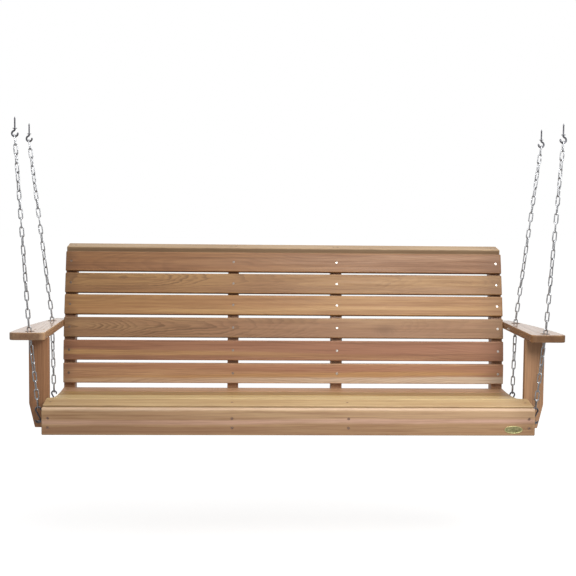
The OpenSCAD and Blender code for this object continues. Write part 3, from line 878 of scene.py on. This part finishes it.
def make_screws():
    finishes = {
        "back_slat_screws": steel("bright_screw_zinc", (214, 208, 200), 0.3, grime_and_shade=(120, 96, 78),
                                  grime_share=0.15, left_shade=0.85),
        "other": steel("dull_screw_zinc", (176, 146, 128), 0.42, grime_and_shade=(96, 72, 60)),
    }
    for node, screws in SCREWS.items():
        verts, faces = joined([screw_solid(s) for s in screws])
        piece = new_object(node.replace("_screws", "_deck_screws"), verts, faces, flat_above=40)
        material = finishes.get(node, finishes["other"])
        finish_piece(piece, material, "bench", node)


def threaded(start, end, radius, pitch):
    """Profile points of a thread's ridges between two distances along an axis."""
    made = []
    at = start
    while at + pitch < end:
        made += [(at, radius), (at + 0.5 * pitch, radius - 0.45 * pitch)]
        at += pitch
    return made + [(end, radius)]


def carriage_bolt(bolt):
    """A bolt with a domed head, a plain shank and a threaded end."""
    end, head_r = bolt["length"], bolt["head_r"]
    angles = np.radians([6, 20, 35, 50, 65, 80])
    profile = [(BOLT_HEAD_H * (1 - math.cos(a)), head_r * math.sin(a)) for a in angles]
    profile += [(BOLT_HEAD_H, head_r), (BOLT_HEAD_H, BOLT_SHANK_R)]
    profile += threaded(end - BOLT_THREAD_L, end - 1 * MM, BOLT_SHANK_R, BOLT_PITCH)
    profile.append((end, BOLT_SHANK_R - 1 * MM))
    return turned(bolt["head"], bolt["axis"], profile, 28)


def make_bolts():
    material = steel("bolt_zinc", (176, 172, 166), 0.34)
    verts, faces = joined([carriage_bolt(bolt) for bolt in headed_solids("frame_bolts")])
    piece = new_object("frame_carriage_bolts", verts, faces, flat_above=40)
    finish_piece(piece, material, "bench", "frame_bolts")

    for node, shank_r in (("frame_bolt_nuts", BOLT_SHANK_R), ("eye_bolt_nuts", EYE_SHANK_R)):
        verts, faces = joined([nut_or_washer(points, shank_r) for points in islands(node)])
        piece = new_object(node.replace("_nuts", "_nut_set"), verts, faces, flat_above=32)
        finish_piece(piece, material, "bench", node)


def nut_or_washer(points, shank_r):
    """A hexagon nut with chamfered corners, or a flat washer, whichever the CAD solid is."""
    low, high = points.min(0), points.max(0)
    thick, deep, tall = high - low
    start = (low + high) / 2 - TO_X * thick / 2
    bore = shank_r + 0.1 * MM
    if abs(tall - deep) < 0.4 * MM:
        return washer(start, bore, tall / 2, thick)
    corner = max(tall, deep) / 2
    flat = corner * math.cos(math.pi / 6)
    across, up = (TO_Z, TO_Y) if tall > deep else (TO_Y, TO_Z)
    count = 48
    rings = [ring_points(start, across, up, bore, count)]
    for along, limit in ((0, flat), (0.12 * thick, corner), (0.88 * thick, corner), (thick, flat)):
        ring = []
        for a in 2 * math.pi * np.arange(count) / count:
            r = min(hex_radius(a, flat), limit)
            ring.append(start + along * TO_X + r * (math.cos(a) * across + math.sin(a) * up))
        rings.append(np.array(ring))
    rings.append(ring_points(start + thick * TO_X, across, up, bore, count))
    return loft(rings, closed=True)


def hex_radius(angle, flat):
    """Distance from the middle of a hexagon to its side; corners lie at multiples of 60 degrees."""
    off = (angle - math.pi / 6) % (math.pi / 3)
    off = min(off, math.pi / 3 - off)
    return flat / math.cos(off)


def washer(start, bore, radius, thick):
    """A flat ring along X with slightly eased outer edges."""
    ease = 0.2 * MM
    profile = [(0, bore), (0, radius - ease), (ease, radius),
               (thick - ease, radius), (thick, radius - ease), (thick, bore)]
    across, up = frame_round(TO_X)
    return loft([ring_points(start + a * TO_X, across, up, r, 40) for a, r in profile], closed=True)


# ---------------- chains and hooks


def link_solid(points, number):
    """A welded wire link where the CAD has one: middle, long axis and plane are read from it."""
    middle, (long_axis, across, normal), size = principal_axes(points)
    wire_r = size[2] / 2
    bend_r = size[1] / 2 - wire_r
    straight = size[0] / 2 - size[1] / 2
    welded = 1 if number % 2 else -1
    path = []
    radii = []
    for end in (1, -1):
        for a in math.pi * np.arange(13) / 12:
            bend = math.cos(a) * across + math.sin(a) * long_axis
            path.append(middle + end * (straight * long_axis + bend_r * bend))
            radii.append(wire_r)
        for t in (0.2, 0.07, 0.0, -0.07, -0.2):
            path.append(middle + end * (-bend_r * across + 2 * t * straight * long_axis))
            swell = 0.13 if end == welded and abs(t) < 0.1 else 0.0
            radii.append(wire_r * (1 + swell))
    return swept(path, radii, 12, normal, closed=True)


def make_chains():
    material = steel("chain_zinc", (202, 203, 206), 0.2, grime_and_shade=(110, 108, 106), grime_share=0.3)
    for end in ("front", "rear"):
        for side in ("left", "right"):
            for part, body in (("upper", f"chain_{end}_{side}"), ("lower", "bench")):
                node = f"{part}_chain_{end}_{side}"
                solids = [link_solid(points, k) for k, points in enumerate(islands(node))]
                verts, faces = joined(solids)
                piece = new_object(f"{part}_links_{end}_{side}", verts, faces, flat_above=60)
                finish_piece(piece, material, body, node)


def s_hook_solid(node):
    """An S-hook of round wire, with the tips of both bends rounded over."""
    low, high, side = sides_of(node)[:3]
    middle = (low + high) / 2
    wire_r = (high[Y] - low[Y]) / 2
    bend_r = (high[X] - low[X]) / 2 - wire_r
    half = (high[Z] - low[Z]) / 2 - wire_r - bend_r
    across = side * TO_X
    slant = math.asin(bend_r / half)
    slant_deg = math.degrees(slant)
    top = arc(middle + half * TO_Z, bend_r, 200, -slant_deg, 26, across, TO_Z)
    foot = arc(middle - half * TO_Z, bend_r, 180 - slant_deg, 380, 26, across, TO_Z)
    spine_top = middle + half * TO_Z + bend_r * (math.cos(slant) * across - math.sin(slant) * TO_Z)
    spine_foot = 2 * middle - spine_top
    spine = [spine_top + (spine_foot - spine_top) * t for t in np.linspace(0, 1, 8)[:-1]]
    return tipped(top + spine + foot, wire_r, TO_Y)


def tipped(path, wire_r, normal, both=True):
    """Wire along a path whose free ends are rounded."""
    radii = [wire_r] * len(path)
    for k, share in enumerate((0.45, 0.78, 0.94)):
        radii[k] = wire_r * share
        if both:
            radii[-1 - k] = wire_r * share
    return swept(path, radii, 16, normal)


def eye_bolt_solid(node):
    """A bent and welded eye on a threaded shank through the end rib."""
    low, high, side, inner, outer = sides_of(node)
    wire_r = (high[Z] - low[Z]) / 2
    ring_r = (high[Y] - low[Y]) / 2 - wire_r
    out = side * TO_X
    _, y, z = (low + high) / 2
    centre = np.array([outer - side * (ring_r + wire_r), y, z])
    count = 40
    ring = arc(centre, ring_r, 180, 540, count, out, TO_Y)
    radii = [wire_r * (1 + 0.16 * math.exp(-((min(k, count - k)) / 1.6) ** 2)) for k in range(count)]
    eye = swept(ring, radii, 16, TO_Z, closed=True)
    length = abs(centre[0] - inner) - ring_r
    profile = [(0, wire_r - 0.8 * MM)] + threaded(0.7 * MM, EYE_THREAD_L, wire_r, EYE_PITCH)
    profile += [(EYE_THREAD_L + 2 * MM, wire_r), (length, wire_r), (length + 0.6 * MM, wire_r)]
    return joined([eye, turned(np.array([inner, y, z]), out, profile, 20)])


def hook_thread(start, wire_r, length, end):
    """A wood-screw thread along Z that tapers to a point."""
    core = 0.72 * wire_r
    profile = [(0, wire_r)]
    at = 1.5 * MM
    while at + HOOK_PITCH < length:
        profile += [(at, core), (at + 0.62 * HOOK_PITCH, core), (at + 0.8 * HOOK_PITCH, wire_r)]
        at += HOOK_PITCH
    profile += [(length, core), (end, 0.12 * wire_r)]
    return turned(start, TO_Z, profile, 24)


def ceiling_hook_solid(node, mount):
    """A screw hook: open bend, neck, stop collar and a wood-screw thread."""
    low, high, side = sides_of(node)[:3]
    wire_r = mount["dims"]["r_mm"] * MM
    thread_l = mount["dims"]["length_mm"] * MM
    x, y, thread_z = mount["pos_m"]
    bend_r = (high[X] - low[X]) / 2 - wire_r
    across = side * TO_X
    centre = np.array([x, y, low[Z] + wire_r + bend_r])
    bend = arc(centre, bend_r, 160, 420, 40, across, TO_Z)
    crown = centre + bend_r * TO_Z
    knee = crown + 0.35 * bend_r * TO_Z
    pull = crown + 0.12 * bend_r * across
    blend = [(1 - t) ** 2 * bend[-1] + 2 * t * (1 - t) * pull + t ** 2 * knee
             for t in np.linspace(0, 1, 8)[1:]]
    neck_top = thread_z - thread_l / 2
    neck = [np.array([x, y, z]) for z in np.linspace(knee[Z], neck_top, 4)[1:]]
    wire = tipped(bend + blend + neck, wire_r, TO_Y, both=False)
    collar_r = (high[Y] - low[Y]) / 2
    profile = [(0, collar_r - 0.5 * MM), (0.4 * MM, collar_r),
               (COLLAR_T - 0.4 * MM, collar_r), (COLLAR_T, collar_r - 0.5 * MM)]
    collar = turned(np.array([x, y, neck_top - COLLAR_T]), TO_Z, profile, 36)
    thread = hook_thread(np.array([x, y, neck_top]), wire_r, thread_l, high[Z] - neck_top)
    return joined([wire, collar, thread])


def make_hooks():
    hook = steel("hook_zinc", (116, 116, 122), 0.28, grime_and_shade=(44, 42, 42), grime_share=0.45)
    mounts = {m["name"]: m for m in frame["record"]["mounts"]}
    for end in ("front", "rear"):
        for side in ("left", "right"):
            tail = f"_{end}_{side}"
            ceiling_hook = ceiling_hook_solid("ceiling_hook" + tail, mounts["hook_shank" + tail])
            for kind, solid, body in (
                ("s_hook", s_hook_solid("s_hook" + tail), "bench"),
                ("eye_bolt", eye_bolt_solid("eye_bolt" + tail), "bench"),
                ("ceiling_hook", ceiling_hook, "hangers"),
            ):
                piece = new_object(kind + tail + "_wire", *solid, flat_above=50)
                finish_piece(piece, hook, body, kind + tail)


def make_oval_plate():
    """Plain oval plate: dished field inside a raised rim."""
    low, high = (np.array(p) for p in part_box("oval_plate"))
    half_l, thick, half_h = (high - low) * (0.5, 1, 0.5)
    middle = (low + high) / 2
    middle[Y] = high[Y]
    # From the back edge to the middle: mm in from the outline, share of the thickness, wear
    steps = [(0.0, 0.0, 0), (0.0, 0.7, 0.6), (0.5, 0.95, 1), (1.2, 1.0, 1), (1.9, 0.9, 0.8),
             (2.5, 0.55, 0.1), (3.4, 0.5, 0), (7.0, 0.62, 0), (10.5, 0.7, 0), (11.6, 0.71, 0)]
    angles = 2 * math.pi * np.arange(72) / 72
    rings = []
    wear = []
    for step, rise, worn in steps:
        x = (half_l - step * MM) * np.cos(angles)
        z = (half_h - step * MM) * np.sin(angles)
        rings.append(middle + np.stack([x, np.full(len(angles), -rise * thick), z], 1))
        wear += [worn] * len(angles)
    verts, faces = loft(rings)
    piece = new_object("oval_plate_plain", verts, faces, wear=wear, flat_above=50)
    finish_piece(piece, aged_brass("plate_brass"), "bench", "oval_plate")


# ---------------- studio


def make_floor():
    """Plain pale floor, as white as the backdrop where the camera sees it in full light."""
    s = Shader("studio_floor")
    place = s.node("ShaderNodeTexCoord").outputs["Object"]
    mottle = s.noise(place, (3, 3, 3), 2.0)
    s.put(s.surface.inputs["Base Color"], s.mix(mottle, (0.52, 0.52, 0.52, 1), (0.56, 0.56, 0.56, 1)))
    s.surface.inputs["Roughness"].default_value = 0.9
    seen = s.node("ShaderNodeLightPath").outputs["Is Camera Ray"]
    s.surface.inputs["Emission Color"].default_value = (1, 1, 1, 1)
    s.put(s.surface.inputs["Emission Strength"], s.math("MULTIPLY", seen, 0.75))
    corners = [(x * FLOOR_HALF, y * FLOOR_HALF, FLOOR_Z) for x, y in ((-1, -1), (1, -1), (1, 1), (-1, 1))]
    floor = new_object("studio_floor", corners, [(0, 1, 2, 3)])
    floor.data.materials.append(s.material)


def make_world(lit=0.38, front=0.6):
    """White to look at; lit is how strongly it lights the wood, front its sheen from the viewer's side."""
    world = bpy.data.worlds.new("studio")
    bpy.context.scene.world = world
    s = Shader("studio", world)
    toward = s.node("ShaderNodeTexCoord").outputs["Generated"]
    back = s.node("ShaderNodeSeparateXYZ", {0: toward}).outputs[1]
    ray = s.node("ShaderNodeLightPath").outputs
    strength = s.math("MAXIMUM", s.ramp(back, -0.9, 0.1, front, 1.0), ray["Is Camera Ray"])
    to_lit = s.math("MULTIPLY", ray["Is Diffuse Ray"], s.math("SUBTRACT", lit, strength))
    s.surface.inputs["Color"].default_value = (1, 1, 1, 1)
    s.put(s.surface.inputs["Strength"], s.math("ADD", strength, to_lit))


def softbox(name, at, aim, size, power):
    lamp = bpy.data.lights.new(name, "AREA")
    lamp.shape = "RECTANGLE"
    lamp.size, lamp.size_y = size
    lamp.energy = power
    made = bpy.data.objects.new(name, lamp)
    bpy.context.scene.collection.objects.link(made)
    made.visible_camera = False
    made.location = at
    made.rotation_euler = (Vector(aim) - Vector(at)).to_track_quat("-Z", "Y").to_euler()


def make_lights():
    make_world()
    softbox("overhead_box", (0.6, -0.5, 2.7), (0.2, 0.0, 0.3), (2.6, 1.8), 34)
    softbox("key_box", (0.7, -1.7, 1.45), (0.36, 0, 0.2), (0.9, 0.8), 33)
    bpy.context.scene.view_settings.view_transform = "Standard"


make_camera()
make_slats()
make_frames()
make_arms()
make_screws()
make_bolts()
make_chains()
make_hooks()
make_oval_plate()
make_floor()
make_lights()
